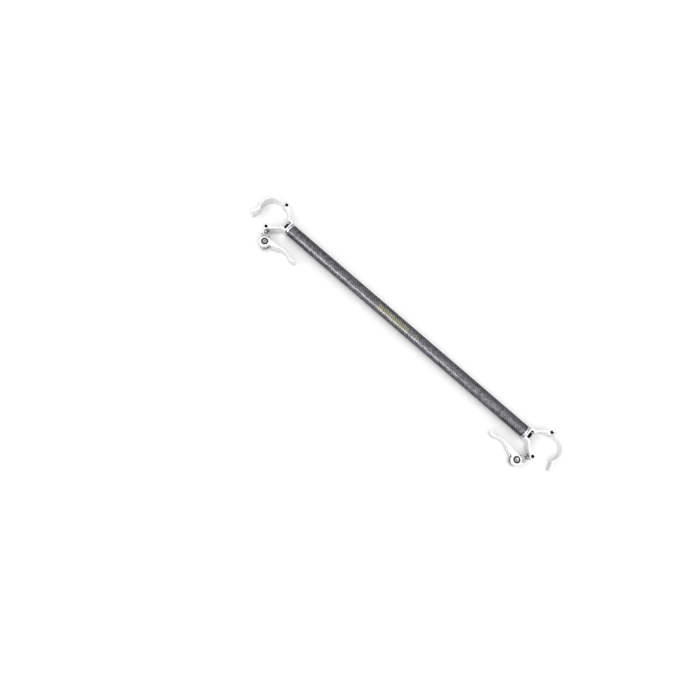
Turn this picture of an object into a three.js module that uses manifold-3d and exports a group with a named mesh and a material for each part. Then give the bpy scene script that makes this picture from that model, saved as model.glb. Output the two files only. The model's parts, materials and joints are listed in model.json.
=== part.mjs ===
// Bed cargo bar: a carbon tube with a quick-release clamp for a round rail on each end.
//
// Millimetres, +Z up. X runs along the tube. The bar lies flat: both clamp rings rest on z = 0 with
// their bores upright and their jaw hinges on the +Y side. The origin is on the ground, under the
// middle of the bar's outline. The clamps stand open: each moving piece is drawn where it sits on a
// closed clamp, then turned about its own pin to the open place.
//
// A clamp is drawn about its ring centre, with +X pointing away from the tube and z = 0 at half its
// height. It is the same above and below that plane, so half a turn about Y makes the other hand.

import * as THREE from 'three';
import { mergeVertices } from 'three/addons/utils/BufferGeometryUtils.js';
import Module from 'manifold-3d';

// ---------------------------------------------------------------- driving dimensions

const RAIL_BORE = 50; // round rail that the closed clamp holds
const RING_WALL = 4;
const RING_HEIGHT = 30;
const RING_SPACING = 720; // from ring centre to ring centre
const TUBE_OUTER = 26;
const TUBE_WALL = 2;

const PIN_OFFSET = 32; // hinge pins, from the ring centre along Y
const PIN_DIAMETER = 6.3;
const LUG_RADIUS = 5.8;
const KNUCKLE_HEIGHT = 9.8; // the knuckle or eye between two ears
const RUNNING_GAP = 0.4; // beside and around a piece that turns
const FIT_GAP = 0.3; // between two pieces that only touch

const NECK_WIDTH = 28.4;
const NECK_FACE = 37.2; // from the ring centre to the face that meets the end plug
const CHANNEL_WIDTH = 17.4; // the mounting bolt's head lies in it, with room to turn
const CHANNEL_FLOOR = 33.5;

const MOUNT_BOLT = { shank: 8, flats: 13, head: 5.3, reach: 62 };
const SPRING_WASHER = { outer: 14.2, thickness: 1.8 };
const PLUG = { flange: 28, flangeThickness: 3.5, spigot: 21.4, spigotLength: 30, tapDepth: 26.5 };

const BOLT_ANGLE = -8; // direction of the swing bolt on a closed clamp
const BOLT_SHANK = 8;
const BARREL_DISTANCE = 32.3; // along the swing bolt, from its pin to the barrel nut
const BOLT_TAIL = 14; // thread beyond the barrel's axis
const BARREL_DIAMETER = 14;

const TONGUE_NEAR = 7.2; // faces of the jaw's forked tongue, along the bolt from its pin
const TONGUE_FAR = 13.2;
const TONGUE_REACH = 10.5; // past the bolt's axis
const FORK_WIDTH = 9.2;
const FORK_DEPTH = 6; // the slot's floor, on the ring's side of the bolt's axis
const BORE_END_ANGLE = 84; // the bore's surface ends this far round, by the hinge

const CAM_RADIUS = 11.5;
const CAM_THROW = 1; // the cam circle's centre, off the barrel's axis
const CAM_ANGLE = 191; // direction of that offset on a closed clamp
const LEVER_HEIGHT = 26;
const BLADE_INNER = 29.65; // the closed blade follows the ring
const BLADE_THICKNESS = 3.1;
const BLADE_ROOT_ANGLE = -20;
const BLADE_END_ANGLE = 50;
const FLARE_RADIUS = 9; // bend at the blade's free end, to its centre line
const FLARE_TURN = 52;
const FLARE_LENGTH = 7.5;
const HEEL_ANGLE = 104; // where the lever's neck leaves the cam circle

const WASHER_SEAT = 13.5; // back of the closed cam washer, along the bolt from its pin
const WASHER_THICKNESS = 5.3; // under the middle of the cam
const WASHER_HORN = 1.3; // its sides stand higher, round the cam
const WASHER_HALF_WIDTH = 8;
const DISH_RADIUS = 12.9;

// How far each moving piece has gone from its closed place
const JAW_OPEN = 30;
const BOLT_OPEN = -119.2;
const LEVER_OPEN = -170;
const WASHER_OPEN = 2.4; // the cam lets the washer slide back along the bolt

const ARC_STEP = 7.5;

// ---------------------------------------------------------------- places that follow

const BORE_RADIUS = RAIL_BORE / 2;
const RING_RADIUS = BORE_RADIUS + RING_WALL;
const JAW_PIN = [0, PIN_OFFSET];
const SWING_PIN = [0, -PIN_OFFSET];
const BARREL = fromPin(BARREL_DISTANCE, 0);
const CAM_CENTRE = polar(BARREL, CAM_THROW, CAM_ANGLE);
const BLADE_OUTER = BLADE_INNER + BLADE_THICKNESS;
const PIN_HOLE = PIN_DIAMETER + 2 * FIT_GAP;
const EAR_GAP = KNUCKLE_HEIGHT + 2 * RUNNING_GAP;
const LUG_CLEARANCE = LUG_RADIUS + RUNNING_GAP;
const SWING_CLEARANCE = 9.5; // lets the swing bolt's shank pass between its ears
const FLANGE_FACE = NECK_FACE + FIT_GAP;
const TUBE_END = FLANGE_FACE + PLUG.flangeThickness + FIT_GAP;
const PAST = 2; // how far a cutting solid runs past the face it cuts

// The straight flank of an arm touches both the ring's outer circle and the lug
const FLANK_ANGLE = 90 - degrees(Math.acos((RING_RADIUS - LUG_RADIUS) / PIN_OFFSET));

// ---------------------------------------------------------------- small geometry helpers

function radians(angle) {
  return angle * Math.PI / 180;
}

function degrees(angle) {
  return angle * 180 / Math.PI;
}

function polar([x, y], radius, angle) {
  return [x + radius * Math.cos(radians(angle)), y + radius * Math.sin(radians(angle))];
}

// A place given along the closed swing bolt from its pin, and across it, away from the ring
function fromPin(along, across) {
  return polar(polar([0, -PIN_OFFSET], along, BOLT_ANGLE), across, BOLT_ANGLE - 90);
}

// Points round an arc, both ends included; the arc runs clockwise when it ends on a lower angle
function arc(centre, radius, start, end) {
  const steps = Math.max(1, Math.ceil(Math.abs(end - start) / ARC_STEP));
  return Array.from({ length: steps + 1 }, (_, i) => {
    return polar(centre, radius, start + (end - start) * i / steps);
  });
}

const wasm = await Module();
wasm.setup();

function solidOf(geometry) {
  geometry.deleteAttribute('normal');
  geometry.deleteAttribute('uv');
  const merged = mergeVertices(geometry, 1e-4);
  return new wasm.Manifold(new wasm.Mesh({
    numProp: 3,
    vertProperties: new Float32Array(merged.attributes.position.array),
    triVerts: new Uint32Array(merged.index.array),
  }));
}

function geometryOf(solid) {
  const mesh = solid.getMesh();
  const geometry = new THREE.BufferGeometry();
  geometry.setAttribute('position', new THREE.BufferAttribute(mesh.vertProperties, 3));
  geometry.setIndex(new THREE.BufferAttribute(mesh.triVerts, 1));
  geometry.computeVertexNormals();
  return geometry;
}

// An outline in the XY plane, given a height that is centred on z = 0
function plate(points, height) {
  const shape = new THREE.Shape(points.map(([x, y]) => new THREE.Vector2(x, y)));
  const geometry = new THREE.ExtrudeGeometry(shape, { depth: height, bevelEnabled: false });
  return solidOf(geometry.translate(0, 0, -height / 2));
}

function disc(centre, radius, height) {
  return plate(arc(centre, radius, 0, 360).slice(1), height);
}

function block(low, high) {
  const size = high.map((value, i) => value - low[i]);
  const middle = high.map((value, i) => (value + low[i]) / 2);
  return solidOf(new THREE.BoxGeometry(...size).translate(...middle));
}

// A round bar along the tube's direction, between two places on X, or a prism rolled about it
function rodX(radius, from, to, sides = 32, roll = 0) {
  const geometry = new THREE.CylinderGeometry(radius, radius, Math.abs(to - from), sides);
  geometry.rotateZ(Math.PI / 2).rotateX(radians(roll));
  return solidOf(geometry.translate((from + to) / 2, 0, 0));
}

// A round bar that follows the closed swing bolt, between two distances from its pin
function rodAlongBolt(radius, from, to) {
  const geometry = new THREE.CylinderGeometry(radius, radius, to - from, 24);
  geometry.rotateZ(-Math.PI / 2).translate((from + to) / 2, 0, 0);
  return solidOf(geometry.rotateZ(radians(BOLT_ANGLE)).translate(...SWING_PIN, 0));
}

// ---------------------------------------------------------------- materials

const POLISHED_ALUMINIUM = { color: 0xdfe1e2, roughness: 0.22, metalness: 1 };
const BRIGHT_STEEL = { color: 0xc9cbce, roughness: 0.28, metalness: 1 };
const BLACK_STEEL = { color: 0x0b0b0c, roughness: 0.5, metalness: 0.7 };
const CARBON = { color: 0x26272b, roughness: 0.3, metalness: 0.1 };

function piece(name, solid, finish) {
  const mesh = new THREE.Mesh(geometryOf(solid), new THREE.MeshStandardMaterial(finish));
  mesh.name = name;
  return mesh;
}

// ---------------------------------------------------------------- the bar

function carbonTube() {
  const half = RING_SPACING / 2 - TUBE_END;
  const bore = rodX(TUBE_OUTER / 2 - TUBE_WALL, -half - PAST, half + PAST, 40);
  return rodX(TUBE_OUTER / 2, -half, half, 40).subtract(bore);
}

function endPlug() {
  const spigotEnd = TUBE_END + PLUG.spigotLength;
  const flange = rodX(PLUG.flange / 2, -TUBE_END + FIT_GAP, -FLANGE_FACE);
  const spigot = rodX(PLUG.spigot / 2, -spigotEnd, -FLANGE_FACE - 1);
  const tap = rodX(MOUNT_BOLT.shank / 2 + FIT_GAP, -FLANGE_FACE - PLUG.tapDepth, -FLANGE_FACE + PAST);
  return flange.add(spigot).subtract(tap);
}

// The hexagon rests with a flat on top
function mountBolt() {
  const underHead = -CHANNEL_FLOOR + SPRING_WASHER.thickness + 2 * FIT_GAP;
  const corners = MOUNT_BOLT.flats / Math.sqrt(3);
  const head = rodX(corners, underHead, underHead + MOUNT_BOLT.head, 6, 30);
  return head.add(rodX(MOUNT_BOLT.shank / 2, -MOUNT_BOLT.reach, underHead + 1));
}

function springWasher() {
  const back = -CHANNEL_FLOOR + FIT_GAP;
  const front = back + SPRING_WASHER.thickness;
  const hole = rodX(MOUNT_BOLT.shank / 2 + FIT_GAP, back - PAST, front + PAST);
  return rodX(SPRING_WASHER.outer / 2, back, front).subtract(hole);
}

// ---------------------------------------------------------------- the fixed half of a clamp

function clampSaddle() {
  const neckAngle = degrees(Math.asin(NECK_WIDTH / 2 / RING_RADIUS));
  const flank = 180 - FLANK_ANGLE;
  const boreEnd = 180 - BORE_END_ANGLE;
  const centre = [0, 0];
  const outline = [
    ...arc(JAW_PIN, LUG_RADIUS, -90, flank),
    ...arc(centre, RING_RADIUS, flank, 180 - neckAngle),
    [-NECK_FACE, NECK_WIDTH / 2],
    [-NECK_FACE, -NECK_WIDTH / 2],
    ...arc(centre, RING_RADIUS, 180 + neckAngle, 360 - flank),
    ...arc(SWING_PIN, LUG_RADIUS, 360 - flank, 450),
    ...arc(centre, BORE_RADIUS, 360 - boreEnd, boreEnd),
  ];
  const half = RING_HEIGHT / 2 + PAST;
  const channel = block(
    [-CHANNEL_FLOOR, -CHANNEL_WIDTH / 2, -half],
    [-BORE_RADIUS + PAST, CHANNEL_WIDTH / 2, half],
  );
  const boltHole = rodX(MOUNT_BOLT.shank / 2 + FIT_GAP, -NECK_FACE - PAST, -CHANNEL_FLOOR + PAST);
  return plate(outline, RING_HEIGHT)
    .subtract(channel)
    .subtract(boltHole)
    .subtract(disc(JAW_PIN, LUG_CLEARANCE, EAR_GAP))
    .subtract(disc(SWING_PIN, SWING_CLEARANCE, EAR_GAP))
    .subtract(disc(JAW_PIN, PIN_HOLE / 2, 2 * half))
    .subtract(disc(SWING_PIN, PIN_HOLE / 2, 2 * half));
}

function hingePin(place) {
  return disc(place, PIN_DIAMETER / 2, RING_HEIGHT);
}

// ---------------------------------------------------------------- the jaw

// The tongue ends in a half circle, so that the cam washer can swing past it
function tongueTip() {
  const radius = (TONGUE_FAR - TONGUE_NEAR) / 2;
  const centre = fromPin(TONGUE_NEAR + radius, TONGUE_REACH - radius);
  return arc(centre, radius, BOLT_ANGLE - 180, BOLT_ANGLE);
}

// Angle, seen from the ring centre, where a face of the tongue meets a circle of the ring
function tongueMeets(radius, along) {
  const foot = along - PIN_OFFSET * Math.sin(radians(BOLT_ANGLE));
  return BOLT_ANGLE - degrees(Math.acos(foot / radius));
}

function clampJaw() {
  const centre = [0, 0];
  const outline = [
    ...tongueTip(),
    ...arc(centre, RING_RADIUS, tongueMeets(RING_RADIUS, TONGUE_FAR), FLANK_ANGLE),
    ...arc(JAW_PIN, LUG_RADIUS, FLANK_ANGLE, 270),
    ...arc(centre, BORE_RADIUS, BORE_END_ANGLE, tongueMeets(BORE_RADIUS, TONGUE_NEAR)),
  ];
  const slot = plate([
    fromPin(TONGUE_NEAR - PAST, TONGUE_REACH + PAST),
    fromPin(TONGUE_FAR + PAST, TONGUE_REACH + PAST),
    fromPin(TONGUE_FAR + PAST, -FORK_DEPTH),
    fromPin(TONGUE_NEAR - PAST, -FORK_DEPTH),
  ], FORK_WIDTH);
  const earSeat = disc(JAW_PIN, LUG_CLEARANCE, RING_HEIGHT + PAST)
    .subtract(disc(JAW_PIN, LUG_CLEARANCE + PAST, KNUCKLE_HEIGHT));
  return plate(outline, RING_HEIGHT)
    .subtract(slot)
    .subtract(earSeat)
    .subtract(disc(JAW_PIN, PIN_HOLE / 2, RING_HEIGHT));
}

// ---------------------------------------------------------------- the swing bolt and what it carries

function swingBolt() {
  return disc(SWING_PIN, LUG_RADIUS, KNUCKLE_HEIGHT)
    .add(rodAlongBolt(BOLT_SHANK / 2, 0, BARREL_DISTANCE + BOLT_TAIL))
    .subtract(disc(SWING_PIN, PIN_HOLE / 2, KNUCKLE_HEIGHT + PAST));
}

function barrelNut() {
  const thread = rodAlongBolt(BOLT_SHANK / 2 + FIT_GAP, BARREL_DISTANCE - BARREL_DIAMETER,
    BARREL_DISTANCE + BARREL_DIAMETER);
  return disc(BARREL, BARREL_DIAMETER / 2, LEVER_HEIGHT).subtract(thread);
}

// The washer between the fork and the cam; its dished face goes round the cam
function camWasher() {
  const middle = WASHER_SEAT + WASHER_THICKNESS;
  const outline = [
    fromPin(WASHER_SEAT, WASHER_HALF_WIDTH),
    fromPin(middle + WASHER_HORN, WASHER_HALF_WIDTH),
    fromPin(middle + WASHER_HORN, -WASHER_HALF_WIDTH),
    fromPin(WASHER_SEAT, -WASHER_HALF_WIDTH),
  ];
  return plate(outline, LEVER_HEIGHT)
    .subtract(disc(fromPin(middle + DISH_RADIUS, 0), DISH_RADIUS, LEVER_HEIGHT + PAST))
    .subtract(rodAlongBolt(BOLT_SHANK / 2 + FIT_GAP, 0, BARREL_DISTANCE));
}

// ---------------------------------------------------------------- the cam lever

// The blade's centre line leaves the ring's curve, bends outward and ends straight
function bladeFlare(offset) {
  const bendStart = polar([0, 0], BLADE_INNER + BLADE_THICKNESS / 2, BLADE_END_ANGLE);
  const bendCentre = polar(bendStart, FLARE_RADIUS, BLADE_END_ANGLE);
  const startAngle = BLADE_END_ANGLE + 180;
  const bend = arc(bendCentre, FLARE_RADIUS - offset, startAngle, startAngle - FLARE_TURN);
  const heading = startAngle - FLARE_TURN - 90;
  return [...bend, polar(bend[bend.length - 1], FLARE_LENGTH, heading)];
}

function camLever() {
  const centre = [0, 0];
  // Angle of the straight edge that touches the cam circle and the blade's outer circle
  const [camX, camY] = CAM_CENTRE;
  const span = Math.hypot(camX, camY);
  const edge = degrees(Math.atan2(camY, camX)) + degrees(Math.acos((BLADE_OUTER - CAM_RADIUS) / span));
  const outline = [
    ...arc(CAM_CENTRE, CAM_RADIUS, HEEL_ANGLE, 360 + edge),
    ...arc(centre, BLADE_OUTER, edge, BLADE_END_ANGLE),
    ...bladeFlare(BLADE_THICKNESS / 2),
    ...bladeFlare(-BLADE_THICKNESS / 2).reverse(),
    ...arc(centre, BLADE_INNER, BLADE_END_ANGLE, BLADE_ROOT_ANGLE),
  ];
  const tailSweep = Math.hypot(BOLT_TAIL, BOLT_SHANK / 2) + RUNNING_GAP;
  return plate(outline, LEVER_HEIGHT)
    .subtract(disc(BARREL, tailSweep, BOLT_SHANK + 4 * RUNNING_GAP))
    .subtract(disc(BARREL, BARREL_DIAMETER / 2 + FIT_GAP, LEVER_HEIGHT + PAST));
}

// ---------------------------------------------------------------- assembly

// Turns pieces about an upright axis through a place in the clamp's plane
function turned([x, y], angle, ...pieces) {
  const inner = new THREE.Group();
  inner.position.set(-x, -y, 0);
  inner.add(...pieces);
  const outer = new THREE.Group();
  outer.position.set(x, y, 0);
  outer.rotation.z = radians(angle);
  outer.add(inner);
  return outer;
}

function clamp(end) {
  const lever = turned(BARREL, LEVER_OPEN, piece(`cam_lever_${end}`, camLever(), POLISHED_ALUMINIUM));
  const washer = piece(`cam_washer_${end}`, camWasher(), BRIGHT_STEEL);
  washer.position.set(...polar([0, 0], WASHER_OPEN, BOLT_ANGLE), 0);
  const swing = turned(
    SWING_PIN,
    BOLT_OPEN,
    piece(`swing_bolt_${end}`, swingBolt(), BRIGHT_STEEL),
    piece(`barrel_nut_${end}`, barrelNut(), BLACK_STEEL),
    washer,
    lever,
  );
  const group = new THREE.Group();
  group.add(
    piece(`end_plug_${end}`, endPlug(), POLISHED_ALUMINIUM),
    piece(`mount_bolt_${end}`, mountBolt(), BLACK_STEEL),
    piece(`spring_washer_${end}`, springWasher(), BLACK_STEEL),
    piece(`clamp_saddle_${end}`, clampSaddle(), POLISHED_ALUMINIUM),
    piece(`jaw_pin_${end}`, hingePin(JAW_PIN), BLACK_STEEL),
    piece(`swing_pin_${end}`, hingePin(SWING_PIN), BLACK_STEEL),
    turned(JAW_PIN, JAW_OPEN, piece(`clamp_jaw_${end}`, clampJaw(), POLISHED_ALUMINIUM)),
    swing,
  );
  return group;
}

const cargoBar = new THREE.Group();
cargoBar.add(piece('carbon_tube', carbonTube(), CARBON));
for (const [end, side] of [['a', -1], ['b', 1]]) {
  const group = clamp(end);
  group.position.x = side * RING_SPACING / 2;
  group.rotation.y = side < 0 ? Math.PI : 0;
  cargoBar.add(group);
}

// The rings stand on the ground, and the outline's middle is over the origin
const outline = new THREE.Box3().setFromObject(cargoBar, true);
cargoBar.position.set(0, -(outline.min.y + outline.max.y) / 2, RING_HEIGHT / 2);

export default cargoBar;
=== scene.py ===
"""The looks of the bed cargo bar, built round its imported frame.

Every piece is drawn in millimetres, in a frame of its own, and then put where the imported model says. The
frame of a clamp has its origin at the ring's centre and half the ring's height, with +X pointing away from
the tube. Its moving pieces are drawn as they sit on a closed clamp, and then turned about their pins to the
open rest pose.
"""

import json
import math

import bmesh
import bpy
from mathutils import Matrix, Vector


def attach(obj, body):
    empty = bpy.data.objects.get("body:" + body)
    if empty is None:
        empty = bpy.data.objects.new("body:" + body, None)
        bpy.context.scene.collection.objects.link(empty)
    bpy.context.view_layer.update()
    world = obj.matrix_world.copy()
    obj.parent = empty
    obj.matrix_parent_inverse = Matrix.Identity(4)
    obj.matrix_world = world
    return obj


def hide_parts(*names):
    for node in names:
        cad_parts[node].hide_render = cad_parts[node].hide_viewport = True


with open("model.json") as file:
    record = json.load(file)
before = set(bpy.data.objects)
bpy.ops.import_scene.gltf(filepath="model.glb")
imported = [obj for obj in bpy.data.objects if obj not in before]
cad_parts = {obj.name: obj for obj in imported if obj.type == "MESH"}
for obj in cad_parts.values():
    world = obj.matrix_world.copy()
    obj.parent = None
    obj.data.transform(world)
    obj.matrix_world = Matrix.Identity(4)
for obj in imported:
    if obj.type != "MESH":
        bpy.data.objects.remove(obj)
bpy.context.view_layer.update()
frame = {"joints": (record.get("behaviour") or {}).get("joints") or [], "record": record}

MM = 0.001
FULL_TURN = 2 * math.pi

# ---------------------------------------------------------------- sizes, in millimetres and degrees

BORE_RADIUS = 25
RING_WALL = 4
RING_HEIGHT = 30
RING_RADIUS = BORE_RADIUS + RING_WALL
PIN_OFFSET = 32  # from the ring's centre to each pin
PIN_DIAMETER = 6.3
PIN_HOLE = 6.9
LUG_RADIUS = 5.8
KNUCKLE_HEIGHT = 9.8
EAR_GAP = 10.6
LUG_CLEARANCE = 6.2
SWING_CLEARANCE = 9.5
BORE_END_ANGLE = 84  # where the bore ends beside a pin

NECK_WIDTH = 28.4
NECK_FACE = 37.2
NECK_FILLET = 3
CHANNEL_WIDTH = 17.4  # the mounting bolt's head lies in the channel
CHANNEL_FLOOR = 33.5

TUBE_RADIUS = 13
TUBE_BORE = 11
TUBE_CHAMFER = 0.3

FLANGE_RADIUS = 14
FLANGE_THICKNESS = 3.5
FLANGE_FACE = 37.5
SPIGOT_RADIUS = 10.7
SPIGOT_LENGTH = 30
TAP_DEPTH = 26.5
TAP_RADIUS = 4.3

HEAD_FLATS = 13
HEAD_BACK = -31.1
HEAD_FRONT = -25.8
HEAD_BACK_CHAMFER = 0.7
HEAD_FRONT_CHAMFER = 0.6
MOUNT_BOLT_RADIUS = 4
MOUNT_BOLT_END = -62
MOUNT_BOLT_PITCH = 1.25

WASHER_RADIUS = 7.1
WASHER_BACK = -33.2
WASHER_FRONT = -31.4
# Where the spring washer is cut, outward from the bolt and a little askew
WASHER_CUT = [(3, -0.5), (9, -0.9), (9, 0.3), (3, 0.7)]

BOLT_ANGLE = -8  # of the closed swing bolt, from the tube's direction
BOLT_RADIUS = 4
BOLT_PITCH = 1.25
THREAD_START = 8.2  # along the swing bolt, from its pin
BARREL_DISTANCE = 32.3
BOLT_TAIL = 14
BARREL_RADIUS = 7
BARREL_FACE = 4.9  # radius of the machined centre of its ends
BARREL_FACE_DEPTH = 3  # how far in that centre is machined

TONGUE_NEAR = 7.2
TONGUE_FAR = 13.2
TONGUE_REACH = 10.5
TONGUE_FILLET = 4
FORK_WIDTH = 9.2
FORK_DEPTH = 6

CAM_RADIUS = 11.5
CAM_THROW = 1
CAM_ANGLE = 191  # direction from the barrel's axis to the cam's centre
LEVER_HEIGHT = 26
BLADE_INNER = 29.65  # radius round the closed ring
BLADE_THICKNESS = 3.1
BLADE_OUTER = BLADE_INNER + BLADE_THICKNESS
BLADE_ROOT_ANGLE = -20
BLADE_END_ANGLE = 50
FLARE_RADIUS = 9
FLARE_TURN = 52
FLARE_LENGTH = 7.5
HEEL_ANGLE = 104  # where the blade's neck leaves the cam
FORK_MARGIN = 0.8  # between the lever's cheeks and the bolt's thread
TAIL_MARGIN = 0.4

WASHER_SEAT = 13.5  # along the swing bolt, from its pin
WASHER_THICKNESS = 5.3
WASHER_HORN = 1.3
WASHER_HALF_WIDTH = 8
DISH_RADIUS = 12.9

PRINT_LIFT = 0.05  # from the tube to the print's outer face
PRINT_THICKNESS = 0.04
STRIPE_WIDTH = 1.9
STRIPE_GAP = 2.6
STRIPE_LEAN = -3.4  # along the tube, from one end of a stripe to the other

GAP = 0.3  # between a piece and the one it fits in
ARC_STEP = 3  # degrees a side
PIN_STEP = 8  # the same, round a pin's hole
LATHE_STEPS = 72
THREAD_STEPS = 36
THREAD_DEPTH = 0.61  # as a share of the pitch
PAST = 2  # how far a cutting solid runs past what it cuts
EDGE_ANGLE = 28  # sharper edges than this are rounded
MERGE = 1e-4  # nearer points than this are one
EDGE_MATERIAL = 1  # slot of the rounded edges' material

# ---------------------------------------------------------------- places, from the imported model

behaviour = frame["record"]["behaviour"]
joints = {joint["name"]: joint for joint in frame["joints"]}
body_of = {node: body for body, nodes in behaviour["bodies"].items() for node in nodes}
slot_of = {part["node"]: part["material_slot"] for part in frame["record"]["subparts"]}
bar_axis = Vector(joints["clamp_b_swivel"]["pos_m"])

JAW_OPEN = -joints["jaw_b_hinge"]["range_deg"][0]
BOLT_OPEN = joints["bolt_b_swing"]["range_deg"][0]
LEVER_OPEN = joints["lever_b_cam"]["range_deg"][0]
# How far the cam washer slides: the coupling is in metres for each radian, and the same at both ends
WASHER_OPEN = -behaviour["couplings"][1]["ratio"] * math.radians(LEVER_OPEN) / MM


def polar(centre, radius, angle):
    """The place at that distance and direction from a centre, in the clamp's plane."""
    turn = math.radians(angle)
    return Vector((centre[0] + radius * math.cos(turn), centre[1] + radius * math.sin(turn)))


def from_pin(along, across):
    """A place measured along the closed swing bolt from its pin, and across it, away from the ring."""
    return polar(polar(SWING_PIN, along, BOLT_ANGLE), across, BOLT_ANGLE - 90)


RING_CENTRE = Vector((0, 0))
JAW_PIN = Vector((0, PIN_OFFSET))
SWING_PIN = Vector((0, -PIN_OFFSET))
BARREL = from_pin(BARREL_DISTANCE, 0)
CAM_CENTRE = polar(BARREL, CAM_THROW, CAM_ANGLE)
FLANK_ANGLE = 90 - math.degrees(math.acos((RING_RADIUS - LUG_RADIUS) / PIN_OFFSET))


def clamp_frame(end):
    """From a clamp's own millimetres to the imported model's metres; a is b turned half round about Y."""
    jaw_pin = Vector(joints[f"jaw_{end}_hinge"]["pos_m"])
    swing_pin = Vector(joints[f"bolt_{end}_swing"]["pos_m"])
    half_turn = Matrix.Rotation(math.pi, 4, "Y") if end == "a" else Matrix.Identity(4)
    return Matrix.Translation((jaw_pin + swing_pin) / 2) @ half_turn @ Matrix.Scale(MM, 4)


def turned(place, angle):
    """A turn about an upright axis through a place in the clamp's plane."""
    there = Matrix.Translation(place.to_3d())
    return there @ Matrix.Rotation(math.radians(angle), 4, "Z") @ there.inverted()


OPEN_JAW = turned(JAW_PIN, JAW_OPEN)
OPEN_SWING = turned(SWING_PIN, BOLT_OPEN)
OPEN_LEVER = OPEN_SWING @ turned(BARREL, LEVER_OPEN)
OPEN_WASHER = OPEN_SWING @ Matrix.Translation(polar(RING_CENTRE, WASHER_OPEN, BOLT_ANGLE).to_3d())

# The closed swing bolt's own axis, as +Z of a lathed or threaded piece
ALONG_BOLT = (
    Matrix.Translation(SWING_PIN.to_3d())
    @ Matrix.Rotation(math.radians(BOLT_ANGLE), 4, "Z")
    @ Matrix.Rotation(math.pi / 2, 4, "Y")
)
ALONG_TUBE = Matrix.Rotation(math.pi / 2, 4, "Y")

# ---------------------------------------------------------------- mesh making


def solid(vertices, faces):
    """A new object from points and faces."""
    mesh = bpy.data.meshes.new("solid")
    mesh.from_pydata([tuple(v) for v in vertices], [], faces)
    mesh.update()
    made = bpy.data.objects.new("solid", mesh)
    bpy.context.scene.collection.objects.link(made)
    return made


def arc(centre, radius, start, end, step=ARC_STEP):
    """Points round an arc, both ends included; it runs clockwise when it ends on a lower angle."""
    steps = max(1, math.ceil(abs(end - start) / step))
    return [polar(centre, radius, start + (end - start) * i / steps) for i in range(steps + 1)]


def plate(points, low, high):
    """An outline in the clamp's plane, given a height."""
    area = sum(a[0] * b[1] - b[0] * a[1] for a, b in zip(points, points[1:] + points[:1]))
    if area < 0:
        points = points[::-1]
    count = len(points)
    vertices = [(p[0], p[1], z) for z in (low, high) for p in points]
    faces = [list(range(count))[::-1], list(range(count, 2 * count))]
    for i in range(count):
        after = (i + 1) % count
        faces.append((i, after, count + after, count + i))
    return solid(vertices, faces)


def disc(centre, radius, low, high, step=ARC_STEP):
    """An upright round bar."""
    return plate(arc(centre, radius, 0, 360, step)[:-1], low, high)


def lathe(profile, steps=LATHE_STEPS):
    """Turns a profile of (radius, height) about Z; it ends on the axis at both ends, or closes on itself."""
    on_axis = profile[0][0] == 0
    rings, vertices, faces = [], [], []
    for radius, height in profile:
        if radius == 0:
            rings.append([len(vertices)] * steps)
            vertices.append((0, 0, height))
        else:
            rings.append([len(vertices) + i for i in range(steps)])
            turns = [FULL_TURN * i / steps for i in range(steps)]
            vertices += [(radius * math.cos(t), radius * math.sin(t), height) for t in turns]
    pairs = list(zip(rings, rings[1:])) + ([] if on_axis else [(rings[-1], rings[0])])
    for lower, upper in pairs:
        for i in range(steps):
            after = (i + 1) % steps
            corners = (lower[i], lower[after], upper[after], upper[i])
            faces.append(tuple(dict.fromkeys(corners)))
    return outward(solid(vertices, faces))


def mirrored(profile):
    """The other end of a profile that is the same at both ends."""
    return [(radius, -height) for radius, height in reversed(profile)]


def outward(piece):
    """Makes every face of a closed mesh point out."""
    shape = bmesh.new()
    shape.from_mesh(piece.data)
    bmesh.ops.recalc_face_normals(shape, faces=shape.faces)
    shape.to_mesh(piece.data)
    shape.free()
    return piece


def thread(radius, pitch, low, high, steps=THREAD_STEPS):
    """A threaded rod along Z, with a chamfer at its high end; each row of points follows a helix."""
    crest, root = radius, radius - THREAD_DEPTH * pitch
    # Each row's height, as a share of the pitch, and its radius
    pattern = [(0, crest), (0.13, crest), (0.44, root), (0.69, root)]
    first = math.floor(low / pitch) - 2
    last = math.ceil(high / pitch) + 1
    rows = [(turn + share, r) for turn in range(first, last + 1) for share, r in pattern]
    vertices, faces = [], []
    for height, r in rows:
        for i in range(steps):
            z = min(max((height + i / steps) * pitch, low), high)
            angle = FULL_TURN * i / steps
            reach = min(r, root - GAP + (high - z))
            vertices.append((reach * math.cos(angle), reach * math.sin(angle), z))
    row_count = len(rows)
    one_turn = len(pattern)
    for k in range(row_count - 1):
        for i in range(steps - 1):
            a = k * steps + i
            faces.append((a, a + 1, a + 1 + steps, a + steps))
        # The seam joins a row's last point to the first point of the row one turn up
        if k + one_turn + 1 < row_count:
            a = k * steps + steps - 1
            b = (k + one_turn) * steps
            faces.append((a, b, b + steps, a + steps))
    rod = solid(vertices, faces)
    shape = bmesh.new()
    shape.from_mesh(rod.data)
    bmesh.ops.remove_doubles(shape, verts=shape.verts, dist=MERGE)
    bmesh.ops.dissolve_degenerate(shape, edges=shape.edges, dist=MERGE)
    bmesh.ops.holes_fill(shape, edges=[e for e in shape.edges if e.is_boundary], sides=0)
    bmesh.ops.recalc_face_normals(shape, faces=shape.faces)
    shape.to_mesh(rod.data)
    shape.free()
    return rod


def bake(piece):
    """Applies a piece's modifiers to its mesh."""
    bpy.context.view_layer.update()
    graph = bpy.context.evaluated_depsgraph_get()
    mesh = bpy.data.meshes.new_from_object(piece.evaluated_get(graph))
    before = piece.data
    piece.modifiers.clear()
    piece.data = mesh
    bpy.data.meshes.remove(before)
    return piece


def combine(piece, operation, *tools):
    """Cuts a piece with other solids, or joins them to it, and removes them."""
    for tool in tools:
        step = piece.modifiers.new("combine", "BOOLEAN")
        step.operation = operation
        step.solver = "EXACT"
        step.object = tool
    bake(piece)
    for tool in tools:
        bpy.data.objects.remove(tool)
    return piece


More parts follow.
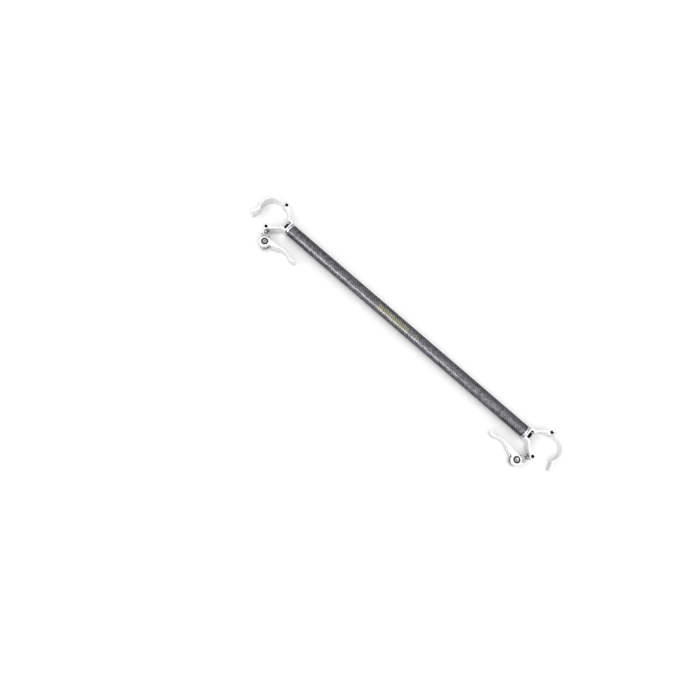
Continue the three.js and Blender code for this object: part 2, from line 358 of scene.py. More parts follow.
def eased(piece, width=0.5, segments=3):
    """Rounds every edge that a tumbled or polished piece would have rounded."""
    step = piece.modifiers.new("edges", "BEVEL")
    step.width = width
    step.segments = segments
    step.limit_method = "ANGLE"
    step.angle_limit = math.radians(EDGE_ANGLE)
    step.use_clamp_overlap = False
    step.miter_outer = "MITER_ARC"
    step.material = EDGE_MATERIAL
    while len(piece.data.materials) <= EDGE_MATERIAL:
        piece.data.materials.append(None)
    return bake(piece)


def weighted(piece):
    """Keeps flats flat and lets the light roll over the rounded edges."""
    piece.data.shade_smooth()
    step = piece.modifiers.new("normals", "WEIGHTED_NORMAL")
    step.keep_sharp = True
    step.weight = 90
    return bake(piece)


def creased(piece, angle=32):
    """Smooth surfaces with hard edges where two of them meet."""
    piece.data.shade_smooth()
    piece.data.set_sharp_from_angle(angle=math.radians(angle))
    return piece


# ---------------------------------------------------------------- materials


class Paint:
    """A material with one Principled shader, and short ways to add nodes to it."""

    def __init__(self, name, **sockets):
        self.material = bpy.data.materials.new(name)
        self.material.use_nodes = True
        self.tree = self.material.node_tree
        self.shader = self.tree.nodes["Principled BSDF"]
        for socket, value in sockets.items():
            self.shader.inputs[socket.replace("_", " ")].default_value = value

    def node(self, kind, links=(), **settings):
        made = self.tree.nodes.new(kind)
        for key, value in settings.items():
            setattr(made, key, value)
        for socket, value in dict(links).items():
            self.feed(made.inputs[socket], value)
        return made

    def feed(self, socket, value):
        if isinstance(value, bpy.types.NodeSocket):
            self.tree.links.new(value, socket)
        else:
            socket.default_value = value

    def math(self, operation, *values):
        return self.node("ShaderNodeMath", enumerate(values), operation=operation).outputs[0]

    def coordinates(self, output="Object"):
        return self.node("ShaderNodeTexCoord").outputs[output]

    def stretched(self, vector, scale):
        return self.node("ShaderNodeMapping", {"Vector": vector, "Scale": scale}).outputs[0]

    def noise(self, vector, scale, detail=2, roughness=0.5):
        links = {"Vector": vector, "Scale": scale, "Detail": detail, "Roughness": roughness}
        return self.node("ShaderNodeTexNoise", links).outputs["Fac"]

    def random(self, a, b):
        """An even random value for each pair of whole numbers."""
        pair = self.node("ShaderNodeCombineXYZ", {0: a, 1: b}).outputs[0]
        return self.node("ShaderNodeTexWhiteNoise", {"Vector": pair}).outputs["Value"]

    def between(self, value, low, high):
        """Maps a 0 to 1 value to a range."""
        links = {"Value": value, "To Min": low, "To Max": high}
        return self.node("ShaderNodeMapRange", links).outputs[0]

    def blend(self, factor, a, b):
        return self.node("ShaderNodeMix", {0: factor, 2: a, 3: b}).outputs[0]

    def colours(self, factor, a, b):
        links = {"Factor": factor, "A": (*a, 1), "B": (*b, 1)}
        made = self.node("ShaderNodeMix", data_type="RGBA")
        for name, value in links.items():
            socket = next(s for s in made.inputs if s.name == name and s.enabled)
            self.feed(socket, value)
        return next(s for s in made.outputs if s.enabled)

    def bump(self, height, distance, strength=1.0):
        links = {"Height": height, "Distance": distance, "Strength": strength}
        return self.node("ShaderNodeBump", links).outputs[0]

    def set(self, **sockets):
        for socket, value in sockets.items():
            self.feed(self.shader.inputs[socket.replace("_", " ")], value)
        return self


def aluminium(name, darkest, lightest):
    """Extruded and tumbled: faint draw lines up the walls, fine sanding lines across the sawn faces."""
    paint = Paint(name, Metallic=1.0)
    place = paint.coordinates()
    facing = paint.node("ShaderNodeSeparateXYZ", {0: paint.coordinates("Normal")}).outputs
    on_face = paint.math("GREATER_THAN", paint.math("ABSOLUTE", facing[2]), 0.7)
    draw_lines = paint.noise(paint.stretched(place, (1.0, 1.0, 0.02)), 900, 3, 0.6)
    sanding = paint.noise(paint.stretched(place, (0.06, 1.0, 1.0)), 1600, 3, 0.65)
    lines = paint.blend(on_face, draw_lines, sanding)
    smudge = paint.noise(place, 60, 4, 0.55)
    level = paint.math("ADD", paint.between(smudge, 0.0, 0.7), paint.between(lines, -0.1, 0.4))
    tone = paint.colours(level, darkest, lightest)
    rough = paint.math("ADD", paint.between(lines, 0.10, 0.28), paint.between(smudge, -0.03, 0.06))
    return paint.set(Base_Color=tone, Roughness=rough, Normal=paint.bump(lines, 0.00002, 0.6)).material


def steel(name, darkest, lightest):
    """A turned or ground steel face with fine lines and a dull patch here and there."""
    paint = Paint(name, Metallic=1.0)
    place = paint.coordinates()
    ground = paint.noise(paint.stretched(place, (1.0, 1.0, 0.05)), 1400, 3, 0.6)
    patch = paint.noise(place, 140, 3)
    tone = paint.colours(patch, darkest, lightest)
    rough = paint.math("ADD", paint.between(ground, 0.14, 0.34), paint.between(patch, -0.05, 0.05))
    return paint.set(Base_Color=tone, Roughness=rough, Normal=paint.bump(ground, 0.00002, 0.7)).material


def black_steel():
    """Black oxide: a thin matte skin with a little mottling from the bath."""
    paint = Paint("black_steel", Specular_IOR_Level=0.07)
    place = paint.coordinates()
    mottle = paint.noise(place, 500, 4, 0.6)
    grain = paint.noise(place, 4200, 2)
    return paint.set(
        Base_Color=paint.colours(mottle, (0.0015, 0.0015, 0.0016), (0.006, 0.006, 0.0065)),
        Roughness=paint.between(mottle, 0.32, 0.55),
        Normal=paint.bump(grain, 0.00001, 0.5),
    ).material


def carbon_weave():
    """Two-by-two twill in clear resin. Its tows run along and round the tube.

    The surface is unrolled into squares one tow wide, u along the tube and v round it. Each square shows the
    tow along (warp) or the tow round (weft), and each float, two squares of one tow, has a tone of its own.
    The warp squares are also painted lighter than the weft: painted sheen for the way the tows along the tube
    catch the light.
    """
    tows_round = 56
    repeat = 4.0  # tows in one repeat of the twill
    tow = FULL_TURN * TUBE_RADIUS * MM / tows_round
    paint = Paint(
        "carbon", Metallic=0.9, Specular_Tint=(0.12, 0.12, 0.13, 1), Specular_IOR_Level=0.1,
        Coat_Weight=0.42, Coat_Roughness=0.12, Coat_IOR=1.5,
    )
    surface = paint.coordinates()
    place = paint.node("ShaderNodeSeparateXYZ", {0: surface}).outputs
    across = paint.math("SUBTRACT", place[1], bar_axis.y)
    up = paint.math("SUBTRACT", place[2], bar_axis.z)

    # Both are shifted to stay above zero, where MODULO and FLOOR agree
    u = paint.math("DIVIDE", paint.math("ADD", place[0], 2.0), tow)
    turn = paint.math("ADD", paint.math("ARCTAN2", across, up), FULL_TURN)
    v = paint.math("MULTIPLY", turn, tows_round / FULL_TURN)
    i = paint.math("FLOOR", u)
    j = paint.math("FLOOR", v)
    along = paint.math("ADD", u, j)
    around = paint.math("ADD", v, i)
    on_warp = paint.math("LESS_THAN", paint.math("MODULO", paint.math("ADD", i, j), repeat), 1.5)

    # Each tow is round across its width, and rises and dips along its length
    warp_crown = paint.math("SINE", paint.math("MULTIPLY", paint.math("FRACT", v), math.pi))
    weft_crown = paint.math("SINE", paint.math("MULTIPLY", paint.math("FRACT", u), math.pi))
    warp_phase = paint.math("MODULO", along, repeat)
    weft_phase = paint.math("SUBTRACT", paint.math("MODULO", around, repeat), 2.0)
    warp_rise = paint.math("SINE", paint.math("MULTIPLY", warp_phase, math.pi / 2))
    weft_rise = paint.math("SINE", paint.math("MULTIPLY", weft_phase, math.pi / 2))
    warp_height = paint.math("MULTIPLY", warp_crown, warp_rise)
    weft_height = paint.math("MULTIPLY", weft_crown, weft_rise)
    height = paint.blend(on_warp, weft_height, warp_height)

    warp_float = paint.random(paint.math("FLOOR", paint.math("DIVIDE", along, repeat)), j)
    weft_float = paint.random(i, paint.math("FLOOR", paint.math("DIVIDE", around, repeat)))
    own_tone = paint.blend(on_warp, weft_float, warp_float)
    warp_fibres = paint.noise(paint.stretched(surface, (0.03, 1.0, 1.0)), 5000, 2)
    weft_fibres = paint.noise(paint.stretched(surface, (1.0, 0.12, 0.12)), 5000, 2)
    fibres = paint.blend(on_warp, weft_fibres, warp_fibres)
    cloud = paint.noise(surface, 130, 3, 0.6)
    # The warp squares are painted lighter than the weft: painted sheen added to each float's own tone
    level = paint.math("ADD", paint.between(own_tone, -0.12, 0.64), paint.between(on_warp, 0.0, 0.4))
    level = paint.math("ADD", level, paint.between(cloud, -0.52, 0.52))
    level = paint.math("MULTIPLY", level, paint.between(fibres, 0.5, 1.3))
    relief = paint.math("ADD", height, paint.math("MULTIPLY", fibres, 0.15))
    return paint.set(
        Base_Color=paint.colours(level, (0.022, 0.022, 0.025), (0.185, 0.18, 0.2)),
        Roughness=paint.between(on_warp, 0.34, 0.46),
        Normal=paint.bump(relief, 0.00018, 0.8),
    ).material


def print_ink(name, colour):
    """Screen-printed ink with a clear coat, a little uneven."""
    paint = Paint(name, Specular_IOR_Level=0.2, Coat_Weight=0.8, Coat_Roughness=0.15)
    cover = paint.noise(paint.coordinates(), 1500, 3, 0.7)
    darker = tuple(0.72 * c for c in colour)
    return paint.set(
        Base_Color=paint.colours(cover, darker, colour),
        Roughness=paint.between(cover, 0.35, 0.55),
    ).material


def studio_floor():
    """Matte white sweep."""
    paint = Paint("studio_floor", Specular_IOR_Level=0.1)
    speck = paint.noise(paint.coordinates(), 30, 3)
    return paint.set(
        Base_Color=paint.colours(speck, (0.90, 0.90, 0.90), (0.92, 0.92, 0.92)),
        Roughness=paint.between(speck, 0.85, 0.95),
    ).material


materials = {
    "carbon": carbon_weave(),
    "polished_aluminium": aluminium("polished_aluminium", (0.60, 0.605, 0.61), (0.74, 0.744, 0.75)),
    # Darker aluminium for the rounded edges: painted shade that draws a dark outline along each edge
    "edge_shade_aluminium": aluminium("edge_shade_aluminium", (0.26, 0.263, 0.266), (0.44, 0.443, 0.447)),
    "bright_steel": steel("bright_steel", (0.26, 0.262, 0.266), (0.42, 0.422, 0.426)),
    "machined_steel": steel("machined_steel", (0.20, 0.20, 0.205), (0.36, 0.362, 0.365)),
    "black_steel": black_steel(),
}
# What each finish looks like where an edge is rounded; aluminium's rounded edges are painted darker, painted
# shade that outlines them
EDGE_FINISH = {
    "carbon": "carbon",
    "polished_aluminium": "edge_shade_aluminium",
    "bright_steel": "machined_steel",
    "black_steel": "black_steel",
}


def settle(piece, node, matrix, finish=weighted):
    """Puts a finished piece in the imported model, in place of its CAD node and on that node's body."""
    piece.data.transform(matrix)
    piece.name = f"{node}_finished"
    piece.data.name = piece.name
    piece.data.materials.clear()
    for finish_name in (slot_of[node], EDGE_FINISH[slot_of[node]]):
        piece.data.materials.append(materials[finish_name])
    finish(piece)
    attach(piece, body_of[node])
    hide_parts(node)
    return piece


# ---------------------------------------------------------------- the bar


def carbon_tube():
    """An open tube from one plug's flange to the other's."""
    ring_centre = clamp_frame("b").translation.x / MM
    half = ring_centre - FLANGE_FACE - FLANGE_THICKNESS - GAP
    c = TUBE_CHAMFER
    end_low = [
        (TUBE_BORE, -half + c), (TUBE_BORE + c, -half),
        (TUBE_RADIUS - c, -half), (TUBE_RADIUS, -half + c),
    ]
    tube = lathe(end_low + mirrored(end_low), steps=120)
    centre = Matrix.Translation((0, bar_axis.y, bar_axis.z))
    settle(tube, "carbon_tube", centre @ ALONG_TUBE @ Matrix.Scale(MM, 4), creased)


def end_plug(end):
    """Flange with turned chamfers, a hole for the mounting bolt, and a spigot to glue into the tube."""
    face = -FLANGE_FACE
    back = face - FLANGE_THICKNESS
    spigot_end = back - GAP - SPIGOT_LENGTH
    drill_tip = face - TAP_DEPTH - 3
    profile = [
        (0, drill_tip), (TAP_RADIUS, face - TAP_DEPTH), (TAP_RADIUS, face - 0.5),
        (TAP_RADIUS + 0.5, face), (FLANGE_RADIUS - 0.6, face), (FLANGE_RADIUS, face - 0.6),
        (FLANGE_RADIUS, back + 0.5), (FLANGE_RADIUS - 0.5, back), (SPIGOT_RADIUS, back),
        (SPIGOT_RADIUS, spigot_end + 1), (SPIGOT_RADIUS - 1, spigot_end), (0, spigot_end),
    ]
    settle(lathe(profile, steps=96), f"end_plug_{end}", clamp_frame(end) @ ALONG_TUBE, creased)


def mount_bolt(end):
    """Hex head with its corners chamfered, a washer face, and a threaded shank."""
    corner = HEAD_FLATS / math.sqrt(3)
    hexagon = lathe([(0, HEAD_BACK), (corner, HEAD_BACK), (corner, HEAD_FRONT), (0, HEAD_FRONT)], steps=6)
    face = HEAD_FLATS / 2 - 0.4
    chamfer = lathe([
        (0, HEAD_BACK), (face, HEAD_BACK), (face, HEAD_BACK + 0.3),
        (corner + 1, HEAD_BACK + HEAD_BACK_CHAMFER), (corner + 1, HEAD_FRONT - HEAD_FRONT_CHAMFER),
        (face, HEAD_FRONT), (0, HEAD_FRONT),
    ])
    head = combine(hexagon, "INTERSECT", chamfer)
    head.data.transform(Matrix.Rotation(math.pi / 6, 4, "Z"))  # a flat on top
    shank = thread(MOUNT_BOLT_RADIUS, MOUNT_BOLT_PITCH, -HEAD_BACK - 1, -MOUNT_BOLT_END)
    shank.data.transform(Matrix.Rotation(math.pi, 4, "X"))
    bolt = combine(eased(head, width=0.15, segments=2), "UNION", shank)
    settle(bolt, f"mount_bolt_{end}", clamp_frame(end) @ ALONG_TUBE, creased)


def spring_washer(end):
    """A flat-wire ring with one cut."""
    inner = MOUNT_BOLT_RADIUS + GAP
    ring = lathe([
        (inner, WASHER_BACK), (WASHER_RADIUS, WASHER_BACK),
        (WASHER_RADIUS, WASHER_FRONT), (inner, WASHER_FRONT),
    ])
    cut = plate(WASHER_CUT, WASHER_BACK - 1, WASHER_FRONT + 1)
    washer = eased(combine(ring, "DIFFERENCE", cut), width=0.12, segments=2)
    settle(washer, f"spring_washer_{end}", clamp_frame(end) @ ALONG_TUBE)


# ---------------------------------------------------------------- the clamp's fixed half


def neck_fillet():
    """The fillet where the neck's +Y side runs into the ring, from the ring to the neck."""
    height = NECK_WIDTH / 2 + NECK_FILLET
    reach = math.sqrt((RING_RADIUS + NECK_FILLET) ** 2 - height ** 2)
    centre = Vector((-reach, height))
    ring_side = math.degrees(math.atan2(-height, reach))
    return arc(centre, NECK_FILLET, ring_side, -90, step=8)


def clamp_saddle(end):
    """Half a ring with a neck, the channel and hole for the mounting bolt, and a pair of ears at each pin."""
    flank = 180 - FLANK_ANGLE
    bore_end = 180 - BORE_END_ANGLE
    fillet = neck_fillet()
    meets_ring = math.degrees(math.atan2(fillet[0].y, fillet[0].x))
    lower_fillet = [Vector((p.x, -p.y)) for p in reversed(fillet)]
    outline = (
        arc(JAW_PIN, LUG_RADIUS, -90, flank)
        + arc(RING_CENTRE, RING_RADIUS, flank, meets_ring)[:-1]
        + fillet
        + [Vector((-NECK_FACE, NECK_WIDTH / 2)), Vector((-NECK_FACE, -NECK_WIDTH / 2))]
        + lower_fillet
        + arc(RING_CENTRE, RING_RADIUS, 360 - meets_ring, 360 - flank)[1:]
        + arc(SWING_PIN, LUG_RADIUS, 360 - flank, 450)
        + arc(RING_CENTRE, BORE_RADIUS, 360 - bore_end, bore_end)
    )
    half = RING_HEIGHT / 2
    channel = plate(
        [
            (-CHANNEL_FLOOR, -CHANNEL_WIDTH / 2), (-BORE_RADIUS + PAST, -CHANNEL_WIDTH / 2),
            (-BORE_RADIUS + PAST, CHANNEL_WIDTH / 2), (-CHANNEL_FLOOR, CHANNEL_WIDTH / 2),
        ],
        -half - PAST, half + PAST,
    )
    bolt_hole = lathe([
        (0, -NECK_FACE - PAST), (TAP_RADIUS, -NECK_FACE - PAST),
        (TAP_RADIUS, -CHANNEL_FLOOR + PAST), (0, -CHANNEL_FLOOR + PAST),
    ], steps=48)
    bolt_hole.data.transform(ALONG_TUBE)
    saddle = combine(
        plate(outline, -half, half),
        "DIFFERENCE",
        channel,
        bolt_hole,
        disc(JAW_PIN, LUG_CLEARANCE, -EAR_GAP / 2, EAR_GAP / 2),
        disc(SWING_PIN, SWING_CLEARANCE, -EAR_GAP / 2, EAR_GAP / 2),
        disc(JAW_PIN, PIN_HOLE / 2, -half - PAST, half + PAST, PIN_STEP),
        disc(SWING_PIN, PIN_HOLE / 2, -half - PAST, half + PAST, PIN_STEP),
    )
    settle(eased(saddle), f"clamp_saddle_{end}", clamp_frame(end))


def hinge_pin(node, place, end):
    """A ground pin with chamfered, slightly dished ends."""
    half = RING_HEIGHT / 2
    r = PIN_DIAMETER / 2
    chamfer = 0.5
    dish = 0.25
    top = [
        (r, half - chamfer), (r - chamfer, half), (r - 1.1, half),
        (r - 1.5, half - dish), (0, half - dish),
    ]
    pin = lathe(mirrored(top) + top, steps=40)
    pin.data.transform(Matrix.Translation(place.to_3d()))
    settle(pin, f"{node}_{end}", clamp_frame(end), creased)


# ---------------------------------------------------------------- the jaw


def tongue_tip():
    """The tongue's round end, from its near face to its far one."""
    radius = (TONGUE_FAR - TONGUE_NEAR) / 2
    centre = from_pin(TONGUE_NEAR + radius, TONGUE_REACH - radius)
    return arc(centre, radius, BOLT_ANGLE - 180, BOLT_ANGLE, step=6)


def tongue_fillet():
    """The fillet between the tongue's far face and the ring's outer circle, from the tongue to the ring."""
    ring_along = PIN_OFFSET * math.sin(math.radians(BOLT_ANGLE))
    ring_across = -PIN_OFFSET * math.cos(math.radians(BOLT_ANGLE))
    along = TONGUE_FAR + TONGUE_FILLET
    reach = RING_RADIUS + TONGUE_FILLET
    across = ring_across + math.sqrt(reach ** 2 - (along - ring_along) ** 2)
    centre = from_pin(along, across)
    to_ring = math.degrees(math.atan2(-centre.y, -centre.x))
    return arc(centre, TONGUE_FILLET, BOLT_ANGLE + 180, to_ring, step=8)


def tongue_meets_bore():
    """Seen from the ring's centre, where the tongue's near face meets the bore."""
    foot = TONGUE_NEAR - PIN_OFFSET * math.sin(math.radians(BOLT_ANGLE))
    return BOLT_ANGLE - math.degrees(math.acos(foot / BORE_RADIUS))


def clamp_jaw(end):
    """Half a ring with a knuckle between the saddle's ears and a forked tongue."""
    fillet = tongue_fillet()
    meets_ring = math.degrees(math.atan2(fillet[-1].y, fillet[-1].x))
    outline = (
        tongue_tip()
        + fillet
        + arc(RING_CENTRE, RING_RADIUS, meets_ring, FLANK_ANGLE)[1:]
        + arc(JAW_PIN, LUG_RADIUS, FLANK_ANGLE, 270)
        + arc(RING_CENTRE, BORE_RADIUS, BORE_END_ANGLE, tongue_meets_bore())
    )
    half = RING_HEIGHT / 2
    slot = plate(
        [
            from_pin(TONGUE_NEAR - PAST, TONGUE_REACH + PAST),
            from_pin(TONGUE_FAR + PAST, TONGUE_REACH + PAST),
            from_pin(TONGUE_FAR + PAST, -FORK_DEPTH),
            from_pin(TONGUE_NEAR - PAST, -FORK_DEPTH),
        ],
        -FORK_WIDTH / 2, FORK_WIDTH / 2,
    )
    seat_low = disc(JAW_PIN, LUG_CLEARANCE, -half - PAST, -KNUCKLE_HEIGHT / 2)
    seat_high = disc(JAW_PIN, LUG_CLEARANCE, KNUCKLE_HEIGHT / 2, half + PAST)
    pin_hole = disc(JAW_PIN, PIN_HOLE / 2, -half, half, PIN_STEP)
    jaw = combine(plate(outline, -half, half), "DIFFERENCE", slot, seat_low, seat_high, pin_hole)
    settle(eased(jaw), f"clamp_jaw_{end}", clamp_frame(end) @ OPEN_JAW)


# ---------------------------------------------------------------- the swing bolt and what it carries


def swing_bolt(end):
    """A forged eye with a plain neck, and a threaded shank."""
    half = KNUCKLE_HEIGHT / 2
    eye = disc(SWING_PIN, LUG_RADIUS, -half, half, step=5)
    taper = 0.6
    neck = lathe([
        (0, 0), (BOLT_RADIUS, 0), (BOLT_RADIUS, THREAD_START),
        (BOLT_RADIUS - taper, THREAD_START + taper), (0, THREAD_START + taper),
    ], steps=48)
    neck.data.transform(ALONG_BOLT)
    pin_hole = disc(SWING_PIN, PIN_HOLE / 2, -half - PAST, half + PAST, PIN_STEP)
    eye = combine(combine(eye, "UNION", neck), "DIFFERENCE", pin_hole)
    shank = thread(BOLT_RADIUS, BOLT_PITCH, THREAD_START - 0.4, BARREL_DISTANCE + BOLT_TAIL)
    shank.data.transform(ALONG_BOLT)
    bolt = combine(eased(eye, width=0.35, segments=2), "UNION", shank)
    settle(bolt, f"swing_bolt_{end}", clamp_frame(end) @ OPEN_SWING, creased)


def barrel_nut(end):
    """Cross nut with a black rim and a machined, dished centre at each end."""
    half = LEVER_HEIGHT / 2
    r = BARREL_RADIUS
    top = [
        (r, half - 0.9), (r - 0.9, half), (BARREL_FACE, half), (BARREL_FACE - 0.4, half - 0.6),
        (1.6, half - 1.1), (1.2, half - 2.2), (0, half - 2.9),
    ]
    reach = BARREL_RADIUS + 3
    hole_radius = BOLT_RADIUS + GAP
    bolt_hole = lathe([(0, -reach), (hole_radius, -reach), (hole_radius, reach), (0, reach)], steps=40)
    bolt_hole.data.transform(ALONG_TUBE)
    nut = combine(lathe(mirrored(top) + top, steps=64), "DIFFERENCE", bolt_hole)
    nut.data.transform(Matrix.Translation(BARREL.to_3d()) @ Matrix.Rotation(math.radians(BOLT_ANGLE), 4, "Z"))
    nut = settle(nut, f"barrel_nut_{end}", clamp_frame(end) @ OPEN_SWING, creased)
    centre = (clamp_frame(end) @ OPEN_SWING) @ BARREL.to_3d()
    nut.data.materials[EDGE_MATERIAL] = materials["machined_steel"]
    for face in nut.data.polygons:
        offset = Vector(face.center) - centre
        if offset.xy.length < (BARREL_FACE - 0.05) * MM and abs(offset.z) > (half - BARREL_FACE_DEPTH) * MM:
            face.material_index = EDGE_MATERIAL


def cam_washer(end):
    """A block between the fork and the cam, dished to the cam's circle, with a hole for the swing bolt."""
    middle = WASHER_SEAT + WASHER_THICKNESS
    half = LEVER_HEIGHT / 2
    horn = middle + WASHER_HORN
    outline = [
        from_pin(WASHER_SEAT, WASHER_HALF_WIDTH), from_pin(horn, WASHER_HALF_WIDTH),
        from_pin(horn, -WASHER_HALF_WIDTH), from_pin(WASHER_SEAT, -WASHER_HALF_WIDTH),
    ]
    dish = disc(from_pin(middle + DISH_RADIUS, 0), DISH_RADIUS, -half - PAST, half + PAST)
    reach = BARREL_DISTANCE
    hole_radius = BOLT_RADIUS + GAP
    bolt_hole = lathe([(0, 0), (hole_radius, 0), (hole_radius, reach), (0, reach)], steps=40)
    bolt_hole.data.transform(ALONG_BOLT)
    washer = eased(combine(plate(outline, -half, half), "DIFFERENCE", dish, bolt_hole), width=0.4)
    settle(washer, f"cam_washer_{end}", clamp_frame(end) @ OPEN_WASHER)


# ---------------------------------------------------------------- the cam lever


def blade_flare(offset):
    """One side of the blade's free end: a bend away from the ring, then straight."""
    bend_start = polar(RING_CENTRE, BLADE_INNER + BLADE_THICKNESS / 2, BLADE_END_ANGLE)
    bend_centre = polar(bend_start, FLARE_RADIUS, BLADE_END_ANGLE)
    start = BLADE_END_ANGLE + 180
    bend = arc(bend_centre, FLARE_RADIUS - offset, start, start - FLARE_TURN)
    return bend + [polar(bend[-1], FLARE_LENGTH, start - FLARE_TURN - 90)]


def cam_lever(end):
    """A round cam that forks over the bolt's tail, with a blade that wraps the ring and flares at its tip."""
    # The straight edge touches the cam's circle and the blade's outer circle, and faces this way
    cam_direction = math.atan2(CAM_CENTRE.y, CAM_CENTRE.x)
    edge = math.degrees(cam_direction + math.acos((BLADE_OUTER - CAM_RADIUS) / CAM_CENTRE.length))
    outline = (
        arc(CAM_CENTRE, CAM_RADIUS, HEEL_ANGLE, 360 + edge)
        + arc(RING_CENTRE, BLADE_OUTER, edge, BLADE_END_ANGLE)
        + blade_flare(BLADE_THICKNESS / 2)[1:]
        + blade_flare(-BLADE_THICKNESS / 2)[:0:-1]
        + arc(RING_CENTRE, BLADE_INNER, BLADE_END_ANGLE, BLADE_ROOT_ANGLE)
    )
    half = LEVER_HEIGHT / 2
    tail_sweep = math.hypot(BOLT_TAIL, BOLT_RADIUS) + TAIL_MARGIN
    fork = disc(BARREL, tail_sweep, -BOLT_RADIUS - FORK_MARGIN, BOLT_RADIUS + FORK_MARGIN)
    barrel_hole = disc(BARREL, BARREL_RADIUS + GAP, -half - PAST, half + PAST)
    lever = combine(plate(outline, -half, half), "DIFFERENCE", fork, barrel_hole)
    settle(eased(lever), f"cam_lever_{end}", clamp_frame(end) @ OPEN_LEVER)


# ---------------------------------------------------------------- the printed stripes


def print_patch(x_low, x_high, angle_low, angle_high, lean):
    """A thin curved patch on the tube, between two angles from its top, with sides that lean along it."""
    columns, rows = 2, 14
    radii = ((TUBE_RADIUS + PRINT_LIFT - PRINT_THICKNESS) * MM, (TUBE_RADIUS + PRINT_LIFT) * MM)
    vertices, faces = [], []
    for radius in radii:
        for row in range(rows + 1):
            share = row / rows
            angle = math.radians(angle_low + (angle_high - angle_low) * share)
            y = bar_axis.y + radius * math.sin(angle)
            z = bar_axis.z + radius * math.cos(angle)
            for column in range(columns + 1):
                x = x_low + (x_high - x_low) * column / columns + lean * share
                vertices.append((x * MM, y, z))
    layer = (rows + 1) * (columns + 1)
    for row in range(rows):
        for column in range(columns):
            a = row * (columns + 1) + column
            faces.append((a, a + 1, a + columns + 2, a + columns + 1))
            faces.append(tuple(layer + k for k in (a + columns + 1, a + columns + 2, a + 1, a)))
    rim = list(range(columns + 1))
    rim += [r * (columns + 1) + columns for r in range(1, rows + 1)]
    rim += [rows * (columns + 1) + c for c in range(columns - 1, -1, -1)]
    rim += [r * (columns + 1) for r in range(rows - 1, 0, -1)]
    for a, b in zip(rim, rim[1:] + rim[:1]):
        faces.append((a, b, layer + b, layer + a))
    return outward(solid(vertices, faces))


def joined(name, parts):
    """Several closed meshes as one piece."""
    shape = bmesh.new()
    for part in parts:
        shape.from_mesh(part.data)
        bpy.data.objects.remove(part)
    mesh = bpy.data.meshes.new(name)
    shape.to_mesh(mesh)
    shape.free()
    made = bpy.data.objects.new(name, mesh)
    bpy.context.scene.collection.objects.link(made)
    return made


def print_stripes(name, start, count, low, high, ink):
    """A row of plain leaning stripes along the tube, between two angles from its top."""
    starts = [start + k * (STRIPE_WIDTH + STRIPE_GAP) for k in range(count)]
    parts = [print_patch(x, x + STRIPE_WIDTH, low, high, STRIPE_LEAN) for x in starts]
    stripes = creased(joined(name, parts))
    stripes.data.materials.append(ink)
    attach(stripes, body_of["carbon_tube"])


# ---------------------------------------------------------------- the whole bar

ink_green = print_ink("ink_green", (0.34, 0.345, 0.14))
ink_grey = print_ink("ink_grey", (0.27, 0.27, 0.19))

carbon_tube()
print_stripes("print_stripes_main", start=-70, count=18, low=-42, high=12, ink=ink_green)
print_stripes("print_stripes_faint", start=25, count=3, low=-40, high=2, ink=ink_grey)
for end in ("a", "b"):
    end_plug(end)
    mount_bolt(end)
    spring_washer(end)
    clamp_saddle(end)
    hinge_pin("jaw_pin", JAW_PIN, end)
    hinge_pin("swing_pin", SWING_PIN, end)
    clamp_jaw(end)
    swing_bolt(end)
    barrel_nut(end)
    cam_washer(end)
    cam_lever(end)

# ---------------------------------------------------------------- floor, light and camera

# In metres: how far the flat floor goes, and the curve that takes it up into a low wall
COVE_START = 4.5
COVE_RADIUS = 1.5
WALL_TOP = 2.6


def studio_cove():
    """A round floor that curves up into a wall all round."""
    curve = arc((COVE_START, COVE_RADIUS), COVE_RADIUS, -90, 0, step=6)
    profile = [(0, 0)] + [tuple(point) for point in curve] + [(COVE_START + COVE_RADIUS, WALL_TOP)]
    floor = creased(lathe(profile, steps=96))
    floor.name = "floor"
    floor.data.materials.append(studio_floor())


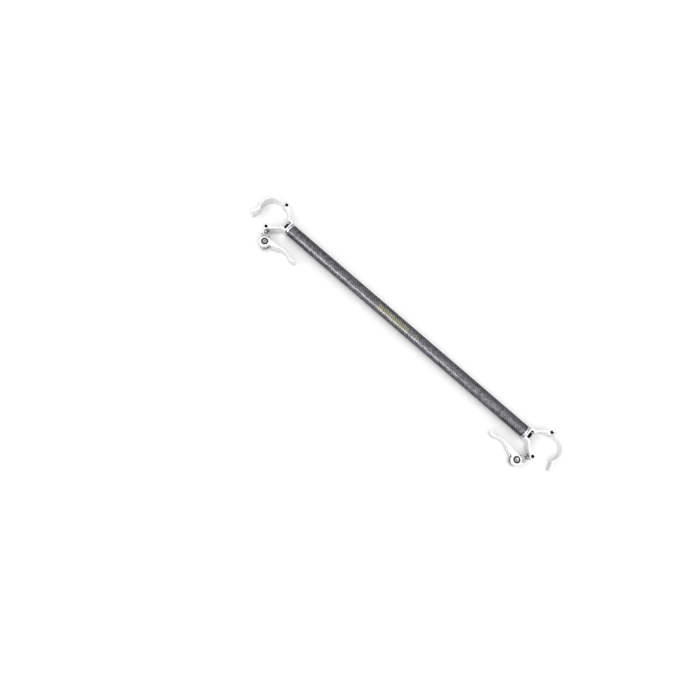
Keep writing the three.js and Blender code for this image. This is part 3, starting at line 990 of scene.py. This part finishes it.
def tent():
    """Soft white surroundings, brighter overhead than at the horizon."""
    world = bpy.data.worlds.new("tent")
    bpy.context.scene.world = world
    world.use_nodes = True
    tree = world.node_tree
    direction = tree.nodes.new("ShaderNodeTexCoord").outputs["Generated"]
    height = tree.nodes.new("ShaderNodeSeparateXYZ")
    tree.links.new(direction, height.inputs[0])
    ramp = tree.nodes.new("ShaderNodeMapRange")
    ramp.interpolation_type = "SMOOTHSTEP"
    for socket, value in {"From Min": 0.3, "From Max": 0.9, "To Min": 0.34, "To Max": 1.52}.items():
        ramp.inputs[socket].default_value = value
    tree.links.new(height.outputs[2], ramp.inputs["Value"])
    background = tree.nodes["Background"]
    background.inputs["Color"].default_value = (1.0, 1.0, 1.0, 1)
    tree.links.new(ramp.outputs[0], background.inputs["Strength"])


def softbox(name, place, aim, size, radiance, lights_floor=True):
    """A rectangular soft light that faces a point. One that doesn't light the floor shows in gloss only."""
    lamp = bpy.data.lights.new(name, "AREA")
    lamp.shape = "RECTANGLE"
    lamp.size, lamp.size_y = size
    lamp.energy = radiance * math.pi * size[0] * size[1]
    light = bpy.data.objects.new(name, lamp)
    light.location = place
    light.rotation_euler = (Vector(aim) - Vector(place)).to_track_quat("-Z", "Y").to_euler()
    light.visible_camera = False
    light.visible_diffuse = lights_floor
    bpy.context.scene.collection.objects.link(light)


studio_cove()
tent()
softbox("overhead", place=(0.55, -0.3, 1.65), aim=(0.3, 0, 0), size=(0.45, 0.45), radiance=4.7)
softbox(
    "strip", place=(-0.27, -1.23, 1.04), aim=(-0.27, 0, 0), size=(1.0, 0.55), radiance=15,
    lights_floor=False,
)


def photo_camera():
    """Looks down on the bar from beside its middle, a little off upright."""
    place = Vector((0.0819, -0.4031 + bar_axis.y, 1.4685))
    aim = Vector((-0.0563, -0.1104 + bar_axis.y, bar_axis.z))
    heading = math.radians(131.269)  # over the floor, the way that is up in the picture
    forward = (aim - place).normalized()
    level_up = Vector((math.cos(heading), math.sin(heading), 0))
    right = forward.cross(level_up).normalized()
    up = right.cross(forward)
    lens = bpy.data.cameras.new("camera")
    lens.sensor_width = 36
    lens.lens = 37.376
    camera = bpy.data.objects.new("camera", lens)
    turn = Matrix((right, up, -forward)).transposed()
    camera.matrix_world = Matrix.Translation(place) @ turn.to_4x4()
    bpy.context.scene.collection.objects.link(camera)
    bpy.context.scene.camera = camera


photo_camera()
bpy.context.scene.view_settings.view_transform = "Standard"
